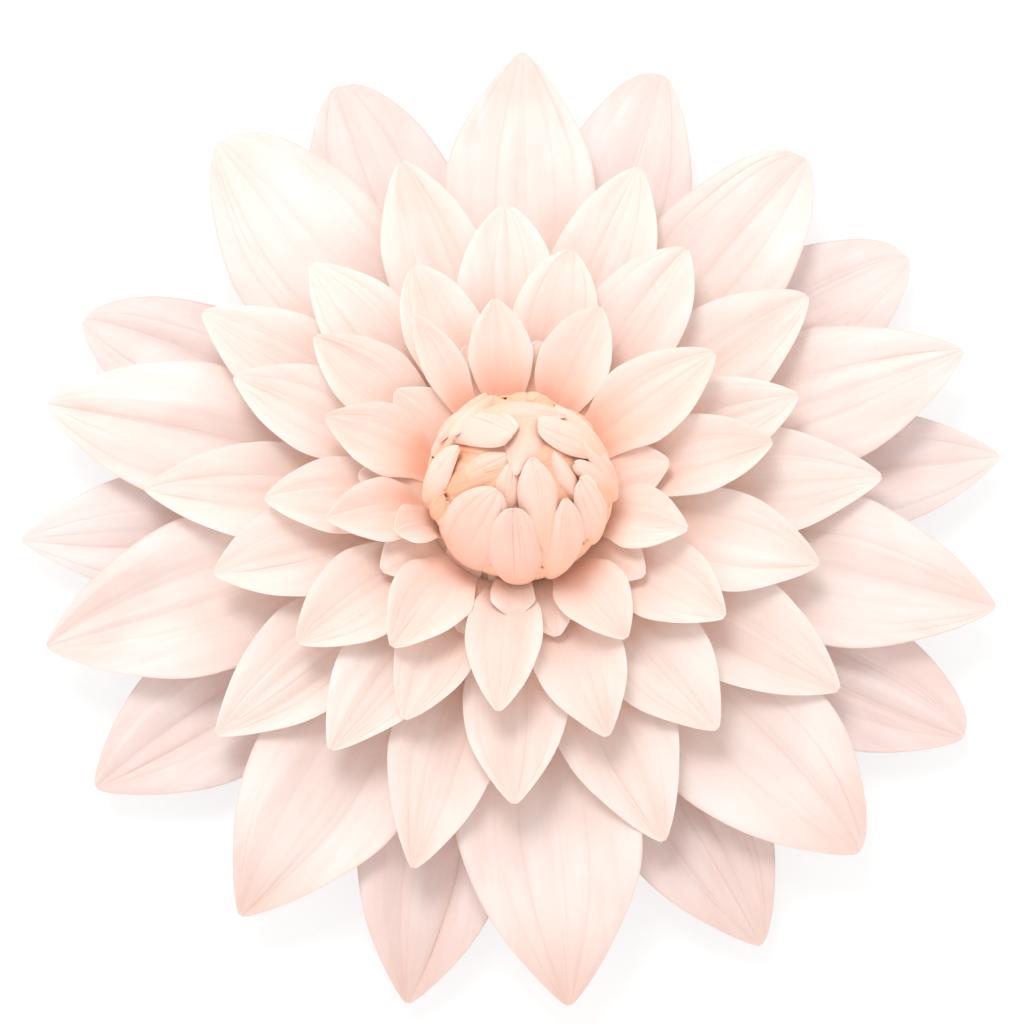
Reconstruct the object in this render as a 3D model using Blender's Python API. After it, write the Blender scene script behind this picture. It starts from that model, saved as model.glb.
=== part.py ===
"""Giant paper flower: six tiers of folded paper petals around a closed bud, on a foam core and a card disc.

Lengths are in metres and +Z is up. The flower lies on its back and faces +Z. The origin is the middle of the
disc's back face. Bearings run anticlockwise from +X, seen from the front of the flower.
"""
import math
from typing import NamedTuple

import bmesh
import bpy
from mathutils import Vector

MM = 0.001

# Paper and card
PAPER = 0.8 * MM
DISC_THICKNESS = 3.0 * MM
DISC_RADIUS = 92.0 * MM
DISC_SIDES = 64
GLUE_GAP = 0.3 * MM

# Foam core: a cone that the petals are glued to, under a ball that carries the bud
CORE_FOOT_RADIUS = 76.0 * MM
CORE_SIDES = 48
BALL_RADIUS = 49.0 * MM
BALL_ROWS = 7
BALL_OVER_NECK = 20.0 * MM
NECK_LEDGE = 1.0 * MM
CORE_NECK_RADIUS = BALL_RADIUS + NECK_LEDGE

# Seats of the tiers: each petal's glue flap lies along the cone, under the fold of the next tier
FIRST_SEAT = 4.5 * MM
FLAP_HEIGHT = 7.5 * MM
FLAP_CLEARANCE = 2.8 * MM
SEAT_GAP = 0.5 * MM
SUNK_ROOT = 1.5 * MM

# How far the tips of each tier reach from the flower's axis, from the outermost tier to the innermost
FIRST_REACH = 298.0 * MM
SECOND_REACH = 292.0 * MM
THIRD_REACH = 222.0 * MM
FOURTH_REACH = 184.0 * MM
FIFTH_REACH = 152.0 * MM
SIXTH_REACH = 118.0 * MM

# Outline of a petal: its half-width grows from the neck to the widest place, and ends in a blunt tip
TAPER_FULLNESS = 0.85
ROW_BIAS = 1.5
TIP_HALF_WIDTH = 1.5 * MM
HANDLE = 0.36
FOLD_START = 0.3
PETAL_COLUMNS = 4

# Bud
BUD_SHIFT = Vector((3.0 * MM, -1.5 * MM))
BUD_ROWS = 3
BUD_COLUMNS = 2
BUD_ROOT_DEPTH = 4.0 * MM
BUD_ROOT_SHARE = 0.6
BUD_TIP_SHARE = 0.15
BUD_EDGE_DROP = 3.5 * MM


class Petal(NamedTuple):
    """One petal of a tier: degrees, and millimetres past the tier's reach and from the petal's middle line."""

    bearing: float
    longer: float
    half_width: float
    lean: float = 0.0


class Tier(NamedTuple):
    """One ring of petals, from seat_slope at the core to tip_slope at the tips, tip_rise above their seat."""

    reach: float
    tip_rise: float
    seat_slope: float
    tip_slope: float
    neck_share: float
    widest_at: float
    cup: float
    pleat: float
    rows: int
    petals: tuple


class BudPetal(NamedTuple):
    """One small petal of the bud: bearing and angle from the axis of its root and tip, in degrees."""

    root_bearing: float
    root_angle: float
    tip_bearing: float
    tip_angle: float
    half_width: float
    lift: float


TIERS = (
    Tier(
        reach=FIRST_REACH, tip_rise=14 * MM, seat_slope=10, tip_slope=-4,
        neck_share=0.36, widest_at=0.6, cup=3.0 * MM, pleat=2.0 * MM, rows=7,
        petals=(
            Petal(7, 0, 41), Petal(35, -3, 47, -1), Petal(72, 5, 43), Petal(112, 3, 48),
            Petal(155, -4, 45), Petal(183, 1, 39), Petal(214, 1, 46), Petal(256.5, 2, 47, 1.5),
            Petal(299, -1, 46), Petal(332, 2, 44, 1),
        ),
    ),
    Tier(
        reach=SECOND_REACH, tip_rise=19 * MM, seat_slope=18, tip_slope=-5,
        neck_share=0.3, widest_at=0.58, cup=4.0 * MM, pleat=2.5 * MM, rows=7,
        petals=(
            Petal(20, -1, 46), Petal(51, -4, 46), Petal(89, 4, 47), Petal(128, 7, 52),
            Petal(167, 0, 46), Petal(197, -1, 50), Petal(237, 0, 50), Petal(276, 6, 54),
            Petal(314, -3, 52), Petal(348, 1, 48),
        ),
    ),
    Tier(
        reach=THIRD_REACH, tip_rise=23 * MM, seat_slope=28, tip_slope=-4,
        neck_share=0.48, widest_at=0.55, cup=4.5 * MM, pleat=2.0 * MM, rows=6,
        petals=(
            Petal(4, -2, 34), Petal(36, -2, 34), Petal(70, 3, 32), Petal(108, 5, 32),
            Petal(148, 1, 32), Petal(178, -1, 31), Petal(219, 2, 34), Petal(255, 5, 33),
            Petal(293, -1, 36), Petal(329, 0, 35),
        ),
    ),
    Tier(
        reach=FOURTH_REACH, tip_rise=26 * MM, seat_slope=38, tip_slope=-2,
        neck_share=0.42, widest_at=0.58, cup=5.0 * MM, pleat=2.0 * MM, rows=6,
        petals=(
            Petal(20, -4, 28), Petal(56, 2, 30), Petal(92, -1, 30), Petal(130.5, 5, 27),
            Petal(156.5, -1, 27), Petal(195, -1, 31), Petal(235, 2, 29), Petal(270, 0, 31),
            Petal(310, -1, 32), Petal(347, 0, 31),
        ),
    ),
    Tier(
        reach=FIFTH_REACH, tip_rise=27 * MM, seat_slope=46, tip_slope=2,
        neck_share=0.43, widest_at=0.57, cup=5.5 * MM, pleat=1.8 * MM, rows=6,
        petals=(
            Petal(11, 3, 25), Petal(77, 1, 26), Petal(113.5, 0, 24.5),
            Petal(141.5, 0, 23.5), Petal(182, -5, 24), Petal(216, 4, 28), Petal(245, -1, 24),
            Petal(290, 4, 27), Petal(328, -8, 27),
        ),
    ),
    Tier(
        reach=SIXTH_REACH, tip_rise=29 * MM, seat_slope=56, tip_slope=8,
        neck_share=0.53, widest_at=0.51, cup=5.5 * MM, pleat=1.5 * MM, rows=6,
        petals=(
            Petal(34, 24, 25), Petal(65, 2, 22), Petal(96, -4, 19.5), Petal(120, 0, 12.5), Petal(160, 0, 21),
            Petal(191, -7, 20), Petal(234, 2, 24), Petal(266, 17, 23), Petal(305, -6, 22),
        ),
    ),
)

# The innermost petal, glued so close under the bud that it is one solid with it
INNER_PETAL = Petal(345, -14, 20)

BUD_PETALS = (
    # Closed heart of the bud
    BudPetal(249, 40, 196, 6, 9, 4.0),
    BudPetal(188, 36, 150, 10, 6, 4.6),
    BudPetal(80, 36, 252, 9, 13, 5.6),
    BudPetal(332, 46, 18, 22, 6.5, 5.0),
    # Middle leaves, pointing at the heart
    BudPetal(132, 46, 50, 44, 9, 6.4),
    BudPetal(311, 98, 323, 50, 12, 4.0),
    BudPetal(205, 98, 200, 60, 10, 3.6),
    BudPetal(327, 94, 347, 39, 13.5, 7.0),
    BudPetal(356, 78, 1, 34, 6.5, 6.8),
    BudPetal(288, 60, 12, 7, 11.5, 7.2),
    BudPetal(231, 100, 233, 23, 22, 7.6),
    # Outer scales, round the bud's side
    BudPetal(50, 98, 40, 62, 13, 6.5),
    BudPetal(82, 98, 84, 58, 14, 7.0),
    BudPetal(115, 98, 110, 66, 12, 6.5),
    BudPetal(158, 98, 152, 66, 10, 7.0),
    BudPetal(269, 98, 262, 28, 15, 8.8),
    BudPetal(291, 98, 322, 35, 13, 8.6),
    BudPetal(355, 92, 22, 42, 8, 8.8),
    BudPetal(14, 70, 62, 50, 7, 7.6),
    BudPetal(14, 58, 66, 26, 11, 9.0),
    BudPetal(188, 86, 162, 40, 12, 8.6),
    BudPetal(142, 84, 106, 15, 14, 9.0),
    BudPetal(112, 68, 158, 62, 6, 9.8),
    BudPetal(110, 54, 154, 48, 5, 10.4),
)

# Colours of the paper, from the outermost tier to the innermost
TIER_COLOURS = (
    (0.86, 0.74, 0.68), (0.90, 0.79, 0.72), (0.94, 0.82, 0.74),
    (0.95, 0.80, 0.71), (0.95, 0.77, 0.67), (0.95, 0.73, 0.61),
)
BUD_COLOUR = (0.95, 0.72, 0.58)
CARD_COLOUR = (0.80, 0.72, 0.62)

CORE_FOOT = DISC_THICKNESS + GLUE_GAP
SEAT_STEP = FLAP_HEIGHT + PAPER + FLAP_CLEARANCE
CORE_NECK = CORE_FOOT + FIRST_SEAT + (len(TIERS) - 1) * SEAT_STEP + FLAP_HEIGHT
BALL_CENTRE = CORE_NECK + BALL_OVER_NECK


def seat_height(index):
    """Height of the fold of a tier's petals, on the core."""
    return CORE_FOOT + FIRST_SEAT + index * SEAT_STEP


def cone_radius(height):
    share = (height - CORE_FOOT) / (CORE_NECK - CORE_FOOT)
    return CORE_FOOT_RADIUS + (CORE_NECK_RADIUS - CORE_FOOT_RADIUS) * share


def material(name, colour, roughness):
    made = bpy.data.materials.new(name)
    made.use_nodes = True
    shader = made.node_tree.nodes["Principled BSDF"]
    shader.inputs["Base Color"].default_value = (*colour, 1.0)
    shader.inputs["Roughness"].default_value = roughness
    shader.inputs["Metallic"].default_value = 0.0
    return made


def mesh_object(name, bm, finish):
    mesh = bpy.data.meshes.new(name)
    bm.normal_update()
    bm.to_mesh(mesh)
    bm.free()
    mesh.materials.append(finish)
    mesh.shade_smooth()
    mesh.set_sharp_from_angle(angle=math.radians(40))
    made = bpy.data.objects.new(name, mesh)
    bpy.context.scene.collection.objects.link(made)
    return made


def grid(bm, rows):
    """Quads between rows of points. Returns the rows of vertices."""
    placed = [[bm.verts.new(point) for point in row] for row in rows]
    for lower, upper in zip(placed, placed[1:]):
        for i in range(len(lower) - 1):
            bm.faces.new((lower[i], lower[i + 1], upper[i + 1], upper[i]))
    return placed


def rim(rows):
    """The vertices round the edge of a grid, in order."""
    right = [row[-1] for row in rows[1:]]
    left = [row[0] for row in rows[-2:0:-1]]
    return rows[0] + right + rows[-1][-2::-1] + left


def bezier(points, share):
    a, b, c, d = points
    rest = 1.0 - share
    return a * rest**3 + 3 * b * rest**2 * share + 3 * c * rest * share**2 + d * share**3


def petal_half_width(share, neck, widest, widest_at):
    """Half-width along a petal: it swells from the neck to the widest place, and tapers to the tip."""
    if share < widest_at:
        return neck + (widest - neck) * math.sin(math.pi / 2 * share / widest_at) ** 2
    past = (share - widest_at) / (1.0 - widest_at)
    taper = max(0.0, math.cos(math.pi / 2 * past)) ** TAPER_FULLNESS
    return TIP_HALF_WIDTH + (widest - TIP_HALF_WIDTH) * taper


def petal_profile(index, reach, seat_gap):
    """Middle line of a petal as four control points of (radius, height): from its fold out to its tip."""
    tier = TIERS[index]
    height = seat_height(index)
    seat = Vector((cone_radius(height) + seat_gap + PAPER / 2, height))
    tip = Vector((reach, height + tier.tip_rise))
    handle = HANDLE * (tip - seat).length
    rising = Vector((math.cos(math.radians(tier.seat_slope)), math.sin(math.radians(tier.seat_slope))))
    ending = Vector((math.cos(math.radians(tier.tip_slope)), math.sin(math.radians(tier.tip_slope))))
    return seat, seat + handle * rising, tip - handle * ending, tip


def fold_height(tier, share, across, width_share):
    """Height over a petal's middle line: cupped to its edges, with a pleat at each side of its crease."""
    start = min(1.0, share / FOLD_START)
    ease = start * start * (3.0 - 2.0 * start)
    return ease * width_share * (tier.cup * across**2 + tier.pleat * math.sin(math.pi * abs(across)))


def round_axis(radius, degrees, height):
    return Vector((radius * math.cos(math.radians(degrees)), radius * math.sin(math.radians(degrees)), height))


def petal_rows(index, petal, seat_gap):
    """Rows of points over a petal, from the top of its glue flap, round its fold and out to its tip."""
    tier = TIERS[index]
    reach = tier.reach + petal.longer * MM
    widest = petal.half_width * MM
    neck = tier.neck_share * widest
    profile = petal_profile(index, reach, seat_gap)
    across = [2.0 * i / PETAL_COLUMNS - 1.0 for i in range(PETAL_COLUMNS + 1)]
    flap_top = seat_height(index) + FLAP_HEIGHT
    flap_radius = cone_radius(flap_top) + seat_gap + PAPER / 2
    rows = [[
        round_axis(flap_radius, petal.bearing + math.degrees(u * neck / flap_radius), flap_top) for u in across
    ]]
    for i in range(tier.rows + 1):
        share = 1.0 - (1.0 - i / tier.rows) ** ROW_BIAS
        middle = bezier(profile, share)
        half_width = petal_half_width(share, neck, widest, tier.widest_at)
        bearing = petal.bearing + petal.lean * share**2
        rows.append([
            round_axis(
                middle.x,
                bearing + math.degrees(u * half_width / middle.x),
                middle.y + fold_height(tier, share, u, half_width / widest),
            )
            for u in across
        ])
    return rows


def add_petal(name, index, petal, finish, seat_gap=SEAT_GAP):
    """One sheet of paper, thickened to both sides of its middle surface."""
    bm = bmesh.new()
    grid(bm, petal_rows(index, petal, seat_gap))
    made = mesh_object(name, bm, finish)
    paper = made.modifiers.new("paper", "SOLIDIFY")
    paper.thickness = PAPER
    paper.offset = 0.0
    paper.use_even_offset = True
    return made


def direction(bearing, angle):
    """Unit vector at a bearing, and at an angle from +Z."""
    return Vector((
        math.sin(math.radians(angle)) * math.cos(math.radians(bearing)),
        math.sin(math.radians(angle)) * math.sin(math.radians(bearing)),
        math.cos(math.radians(angle)),
    ))


def add_bud_petal(number, petal, centre, finish):
    """A small petal that hugs the ball, highest along its middle, with its back sunk in the foam."""
    root = direction(petal.root_bearing, petal.root_angle)
    tip = direction(petal.tip_bearing, petal.tip_angle)
    side = root.cross(tip).normalized()
    outer = []
    inner = []
    for i in range(BUD_ROWS + 1):
        share = i / BUD_ROWS
        along = root.slerp(tip, share)
        end = BUD_ROOT_SHARE + (BUD_TIP_SHARE - BUD_ROOT_SHARE) * share
        width_share = end + (1.0 - end) * math.sin(math.pi * share)
        width = petal.half_width * MM * width_share
        outer_row = []
        inner_row = []
        for j in range(BUD_COLUMNS + 1):
            across = 2.0 * j / BUD_COLUMNS - 1.0
            ray = (along + side * across * width / BALL_RADIUS).normalized()
            top = BALL_RADIUS + petal.lift * MM - BUD_EDGE_DROP * width_share * across**2
            outer_row.append(centre + ray * top)
            inner_row.append(centre + ray * (BALL_RADIUS - BUD_ROOT_DEPTH))
        outer.append(outer_row)
        inner.append(inner_row)
    bm = bmesh.new()
    rim_outer = rim(grid(bm, outer))
    rim_inner = rim(grid(bm, inner))
    for i, vertex in enumerate(rim_outer):
        following = (i + 1) % len(rim_outer)
        bm.faces.new((vertex, rim_inner[i], rim_inner[following], rim_outer[following]))
    bmesh.ops.recalc_face_normals(bm, faces=bm.faces)
    return mesh_object(f"bud_petal_{number:02d}", bm, finish)


def turned(name, profile, sides, finish):
    """A solid of revolution about Z, from (radius, height) points that run down its outer side."""
    bm = bmesh.new()
    placed = [bm.verts.new((radius, 0.0, height)) for radius, height in profile]
    for upper, lower in zip(placed, placed[1:]):
        bm.edges.new((upper, lower))
    made = mesh_object(name, bm, finish)
    screw = made.modifiers.new("turned", "SCREW")
    screw.steps = sides
    screw.render_steps = sides
    screw.use_merge_vertices = True
    screw.merge_threshold = 0.00001
    screw.use_smooth_shade = True
    return made


def join(body, other):
    """Makes the other object, which is only a helper, part of the body."""
    other.hide_render = True
    other.display_type = "WIRE"
    union = body.modifiers.new(other.name, "BOOLEAN")
    union.operation = "UNION"
    union.solver = "EXACT"
    union.object = other


def ball_profile():
    """Half a circle from the top of the ball to its bottom."""
    turns = [math.pi * i / (2 * BALL_ROWS) for i in range(2 * BALL_ROWS + 1)]
    middle = [(BALL_RADIUS * math.sin(a), BALL_RADIUS * math.cos(a)) for a in turns[1:-1]]
    return [(0.0, BALL_RADIUS)] + middle + [(0.0, -BALL_RADIUS)]


def add_backing_disc():
    card = material("card", CARD_COLOUR, 0.9)
    profile = ((0.0, DISC_THICKNESS), (DISC_RADIUS, DISC_THICKNESS), (DISC_RADIUS, 0.0), (0.0, 0.0))
    return turned("backing_disc", profile, DISC_SIDES, card)


def add_bud():
    """The foam core, with the ball and the small petals that are glued all over it."""
    finish = material("bud_paper", BUD_COLOUR, 0.8)
    profile = (
        (0.0, CORE_NECK), (CORE_NECK_RADIUS, CORE_NECK), (CORE_FOOT_RADIUS, CORE_FOOT), (0.0, CORE_FOOT),
    )
    bud = turned("bud", profile, CORE_SIDES, finish)
    ball = turned("ball", ball_profile(), CORE_SIDES // 2, finish)
    centre = Vector((BUD_SHIFT.x, BUD_SHIFT.y, BALL_CENTRE))
    ball.location = centre
    join(bud, ball)
    for number, petal in enumerate(BUD_PETALS, 1):
        join(bud, add_bud_petal(number, petal, centre, finish))
    join(bud, add_petal("inner_petal", len(TIERS) - 1, INNER_PETAL, finish, -SUNK_ROOT))
    return bud


def add_tiers():
    for index, tier in enumerate(TIERS):
        finish = material(f"tier_{index + 1}_paper", TIER_COLOURS[index], 0.8)
        for number, petal in enumerate(tier.petals, 1):
            add_petal(f"tier_{index + 1}_petal_{number:02d}", index, petal, finish)


def main():
    for old in list(bpy.data.objects):
        bpy.data.objects.remove(old, do_unlink=True)
    add_backing_disc()
    add_bud()
    add_tiers()


main()
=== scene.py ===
"""Looks of the giant paper flower: finely folded petals, the leaves of its bud, and the studio round it.

Lengths are in metres and +Z is up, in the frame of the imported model. The flower lies on its back and
faces +Z. Bearings run anticlockwise from +X, seen from the front of the flower.
"""
import math
import random
from typing import NamedTuple

import bpy
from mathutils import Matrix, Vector


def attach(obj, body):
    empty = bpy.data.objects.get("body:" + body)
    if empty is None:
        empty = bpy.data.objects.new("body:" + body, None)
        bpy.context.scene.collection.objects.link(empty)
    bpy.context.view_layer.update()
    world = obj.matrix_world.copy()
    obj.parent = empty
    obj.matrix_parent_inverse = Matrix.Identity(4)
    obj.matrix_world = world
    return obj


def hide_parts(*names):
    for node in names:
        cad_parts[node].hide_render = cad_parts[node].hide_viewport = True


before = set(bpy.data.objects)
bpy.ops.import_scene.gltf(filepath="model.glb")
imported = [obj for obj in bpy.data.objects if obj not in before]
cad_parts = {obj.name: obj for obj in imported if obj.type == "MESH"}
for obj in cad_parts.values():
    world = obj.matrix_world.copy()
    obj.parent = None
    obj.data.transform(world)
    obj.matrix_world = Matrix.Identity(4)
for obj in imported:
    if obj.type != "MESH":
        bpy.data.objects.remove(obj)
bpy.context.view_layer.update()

MM = 0.001
BODY = "root"
FULL_TURN = 2.0 * math.pi

# Construction, with the same values and formulas as the solids
PAPER = 0.8 * MM
DISC_THICKNESS = 3.0 * MM
GLUE_GAP = 0.3 * MM
CORE_FOOT_RADIUS = 76.0 * MM
BALL_RADIUS = 49.0 * MM
NECK_LEDGE = 1.0 * MM
CORE_NECK_RADIUS = BALL_RADIUS + NECK_LEDGE
BALL_OVER_NECK = 20.0 * MM
FIRST_REACH = 298.0 * MM
SECOND_REACH = 292.0 * MM
THIRD_REACH = 222.0 * MM
FOURTH_REACH = 184.0 * MM
FIFTH_REACH = 152.0 * MM
SIXTH_REACH = 118.0 * MM
FIRST_SEAT = 4.5 * MM
FLAP_HEIGHT = 7.5 * MM
FLAP_CLEARANCE = 2.8 * MM
SEAT_GAP = 0.5 * MM
SUNK_ROOT = 1.5 * MM
TAPER_FULLNESS = 0.85
TIP_HALF_WIDTH = 1.5 * MM
HANDLE = 0.36
FOLD_START = 0.3
BUD_SHIFT = Vector((3.0 * MM, -1.5 * MM))

# Fineness of the sheets, closer near tips, edges and creases, and the angles past which an edge is sharp
FLAP_ROWS = 3
RIM_INSET = 0.012
CREASE_STEP = 0.022
LEAST_STEP = 0.009
TIP_BIAS = 1.25
LEAF_TIP_BIAS = 1.3
LEAF_ROWS = 22
LEAF_COLUMNS = 16
CORE_SIDES = 96
BALL_RINGS = 40
SHEET_SHARP = 55.0
FOAM_SHARP = 40.0

# Forms of the petals, in shares of their length or half width; the curl of low tips is in millimetres
LOWER_BLUNT = 0.3
FOLD_STRENGTH = 1.8
FOLD_ROUNDING = 0.015
FOLD_RUN = 0.45
EDGE_HELD = 0.6
FAN_START = 0.45
FAN_RUN = 0.5
ROLL_START = 0.84
ROLL_DEPTH = 0.9 * MM
CURL_START = 0.78
LOW_TIP_CURL = 2.5

# How the cut edge wanders: its size and its waves to a petal
SLOW_WANDER = (0.022, 1.3)
QUICK_WANDER = (0.010, 3.7)

# Ranges from which the creases, pleats and waves of a petal are drawn, in degrees, and millimetres for curls
LINE_COUNTS = (3, 5)
LINE_PLACES = (-0.8, 0.8)
LINE_STARTS = (0.2, 0.6)
LINE_DEPTHS = (0.35, 1.0)
LINE_WIDTHS = (0.018, 0.045)
FAN_COUNTS = (2.2, 3.6)
WAVE_COUNTS = (1.2, 2.4)
PHASES = (0.0, FULL_TURN)
TWISTS = (-3.0, 3.0)
CUP_SHARES = (0.7, 1.25)
ROLL_SHARES = (0.2, 1.0)
TIP_CURLS = (-1.0, 1.5)
SIDE_FOLDS = (0.15, 0.5)
VALLEY_SLOPES = (4, 9)
RIDGE_SLOPES = (4, 8)
RIDGE_MARGIN = 0.12

# How strongly a fold, its ridges and the finer lines are marked with painted shade
FOLD_SHADE_RUN = 0.4
FOLD_SHADE_WIDTH = 0.02
STEEP_SLOPE = 9
RIDGE_SHADE = 0.35
LINE_SHADE = 0.8
LINE_SHADE_WIDTH = 0.5

# Forms of the bud. Its ball is BALL_JOIN of its radius wide where it leaves the neck. Creases are LEAF_CREASE
# millimetres deep on a leaf of LEAF_CREASED_HALF_WIDTH, and less on narrower ones. PUCKER is in millimetres.
BALL_JOIN = 0.97
BUD_EDGE_DROP = 3.1 * MM
LEAF_TIP_SHARE = 0.04
LEAF_CREASE = 0.9
LEAF_CREASED_HALF_WIDTH = 12
LEAF_CREASE_WIDTH = 0.06
LEAF_CREASE_RUN = 0.4
# Share of painted shade in a leaf's deepest crease
LEAF_CREASE_SHADE = 0.6
LEAF_CREASES = 4
LEAF_CREASE_PLACES = (-0.75, 0.75)
LEAF_CREASE_STARTS = (0.0, 0.5)
LEAF_CREASE_DEPTHS = (0.3, 1.0)
LEAF_TWISTS = (-0.5, 0.5)
LEAF_CURL_START = 0.55
PUCKER = 0.5
PUCKER_ACROSS = 4.0
PUCKER_ALONG = 2.0

# First numbers of the seeds for random draws
TIER_SEED = 100
SMALL_SEED = 650
LEAF_SEED = 700


class Petal(NamedTuple):
    """One petal of a tier, in degrees and millimetres; longer is what it adds to the tier's reach."""

    bearing: float
    longer: float
    half_width: float
    lean: float = 0.0
    blunt: float = 0.0


class Tier(NamedTuple):
    """A ring of petals that leave the core at seat_slope and end at tip_slope, tip_rise above their seat."""

    reach: float
    tip_rise: float
    seat_slope: float
    tip_slope: float
    neck_share: float
    widest_at: float
    cup: float
    pleat: float
    rows: int
    columns: int
    wave: float
    crease: float
    fan: float
    petals: tuple


class Fold(NamedTuple):
    """A crease up to a petal's tip: its place across, from -1 to 1, and its slope to each side in degrees."""

    place: float
    slope: float
    start: float = 0.25


class BudLeaf(NamedTuple):
    """One leaf of the bud, by the bearing and the angle from +Z of its root and tip, in degrees.

    Its half width, lift, curl and tuck are in millimetres, and the other sizes are shares and powers.
    """

    root_bearing: float
    root_angle: float
    tip_bearing: float
    tip_angle: float
    half_width: float
    lift: float
    point: float = 0.6
    curl: float = 0.6
    root_share: float = 0.6
    widest_at: float = 0.5
    tuck: float = 1.6
    pink: bool = False


class Colours(NamedTuple):
    """Colours of one sort of paper, as they look on a screen, from 0 to 255."""

    body: tuple
    # Painted warm shade at the root, where the next tier or leaf covers it
    root: tuple
    # The tip colour: painted shade at the tips of the tiers' petals, paler on the bud
    tip: tuple
    # A painted shade line at a sharp rim, a painted highlight at a soft one
    rim: tuple
    # Painted shade in the creases; also the colour of random blotches
    crease: tuple


TIERS = (
    Tier(
        reach=FIRST_REACH, tip_rise=14 * MM, seat_slope=10, tip_slope=-4,
        neck_share=0.36, widest_at=0.6, cup=3.0 * MM, pleat=2.0 * MM,
        rows=52, columns=34, wave=1.1 * MM, crease=1.9 * MM, fan=1.0 * MM,
        petals=(
            Petal(7, 0, 41), Petal(35, -3, 47, -1, 0.4), Petal(72, 5, 43, 0, 0.4),
            Petal(112, 3, 48, 0, 0.4), Petal(155, -4, 45, 0, 0.3), Petal(183, 1, 39),
            Petal(214, 1, 46, 0, 0.1), Petal(256.5, 2, 47, 1.5), Petal(299, -1, 46, 0, 0.1),
            Petal(332, 2, 44, 1, 0.35),
        ),
    ),
    Tier(
        reach=SECOND_REACH, tip_rise=19 * MM, seat_slope=18, tip_slope=-5,
        neck_share=0.3, widest_at=0.58, cup=4.0 * MM, pleat=2.5 * MM,
        rows=52, columns=34, wave=1.1 * MM, crease=1.8 * MM, fan=0.9 * MM,
        petals=(
            Petal(20, -1, 46), Petal(51, -4, 46, 0, 0.4), Petal(89, 4, 47), Petal(128, 7, 52, 0, 0.4),
            Petal(167, 0, 46, 0, 0.1), Petal(197, -1, 50), Petal(237, 0, 50), Petal(276, 6, 54),
            Petal(314, -3, 52, 0, 0.2), Petal(348, 1, 48),
        ),
    ),
    Tier(
        reach=THIRD_REACH, tip_rise=23 * MM, seat_slope=28, tip_slope=-4,
        neck_share=0.48, widest_at=0.55, cup=4.5 * MM, pleat=2.0 * MM,
        rows=44, columns=28, wave=0.8 * MM, crease=1.5 * MM, fan=0.7 * MM,
        petals=(
            Petal(4, -2, 34), Petal(36, -2, 34, 0, 0.15), Petal(70, 3, 32, 0, 0.2),
            Petal(108, 5, 32, 0, 0.15), Petal(148, 1, 32, 0, 0.1), Petal(178, -1, 31),
            Petal(219, 2, 34), Petal(255, 5, 33), Petal(293, -1, 36), Petal(329, 0, 35),
        ),
    ),
    Tier(
        reach=FOURTH_REACH, tip_rise=26 * MM, seat_slope=38, tip_slope=-2,
        neck_share=0.42, widest_at=0.58, cup=5.0 * MM, pleat=2.0 * MM,
        rows=44, columns=28, wave=0.7 * MM, crease=1.4 * MM, fan=0.7 * MM,
        petals=(
            Petal(20, -4, 28), Petal(56, 2, 30, 0, 0.2), Petal(92, -1, 30, 0, 0.2),
            Petal(130.5, 5, 27, 0, 0.1), Petal(156.5, -1, 27), Petal(195, -1, 31),
            Petal(235, 2, 29), Petal(270, 0, 31), Petal(310, -1, 32), Petal(347, 0, 31),
        ),
    ),
    Tier(
        reach=FIFTH_REACH, tip_rise=27 * MM, seat_slope=46, tip_slope=2,
        neck_share=0.43, widest_at=0.57, cup=5.5 * MM, pleat=1.8 * MM,
        rows=40, columns=26, wave=0.6 * MM, crease=1.2 * MM, fan=0.6 * MM,
        petals=(
            Petal(11, 3, 25), Petal(77, 1, 26, 0, 0.25), Petal(113.5, 0, 24.5, 0, 0.15),
            Petal(141.5, 0, 23.5), Petal(182, -5, 24), Petal(216, 4, 28), Petal(245, -1, 24),
            Petal(290, 4, 27), Petal(328, -8, 27),
        ),
    ),
    Tier(
        reach=SIXTH_REACH, tip_rise=29 * MM, seat_slope=56, tip_slope=8,
        neck_share=0.53, widest_at=0.51, cup=5.5 * MM, pleat=1.5 * MM,
        rows=40, columns=26, wave=0.6 * MM, crease=1.1 * MM, fan=0.6 * MM,
        petals=(
            Petal(34, 24, 25, 0, 0.15), Petal(65, 2, 22, 0, 0.1), Petal(96, -4, 19.5), Petal(120, 0, 12.5),
            Petal(160, 0, 21), Petal(191, -7, 20), Petal(234, 2, 24), Petal(266, 17, 23),
            Petal(305, -6, 22),
        ),
    ),
)
INNER_PETAL = Petal(345, -14, 20)

# Small petals that only the looks have: fillers under the last tier, a torn lip, and a curled one by the bud
FILLER_HALF_WIDTH = 22
FILLER_DROP = 2.0 * MM
FILLER = TIERS[-1]._replace(
    reach=92 * MM, tip_rise=22 * MM, neck_share=0.8, widest_at=0.4, cup=-1.0 * MM, pleat=0.5 * MM,
    rows=22, columns=14, crease=0.4 * MM, fan=0.3 * MM, petals=(),
)
LIP_PETAL = Petal(269, 0, 13)
LIP_RISE = 4.0 * MM
LIP = TIERS[-1]._replace(
    reach=77 * MM, tip_rise=18 * MM, tip_slope=10, neck_share=0.8, widest_at=0.75, cup=2.0 * MM,
    pleat=0.6 * MM, rows=22, columns=14, crease=0.4 * MM, fan=0.3 * MM, petals=(),
)
CURLED_PETAL = Petal(203, 0, 13)
CURLED_RISE = 6.0 * MM
CURLED = TIERS[-1]._replace(
    reach=75 * MM, tip_rise=25 * MM, seat_slope=64, tip_slope=30, neck_share=0.7, widest_at=0.7, cup=7.0 * MM,
    pleat=1.0 * MM, rows=24, columns=16, crease=0.5 * MM, fan=0.4 * MM, petals=(),
)

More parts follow.
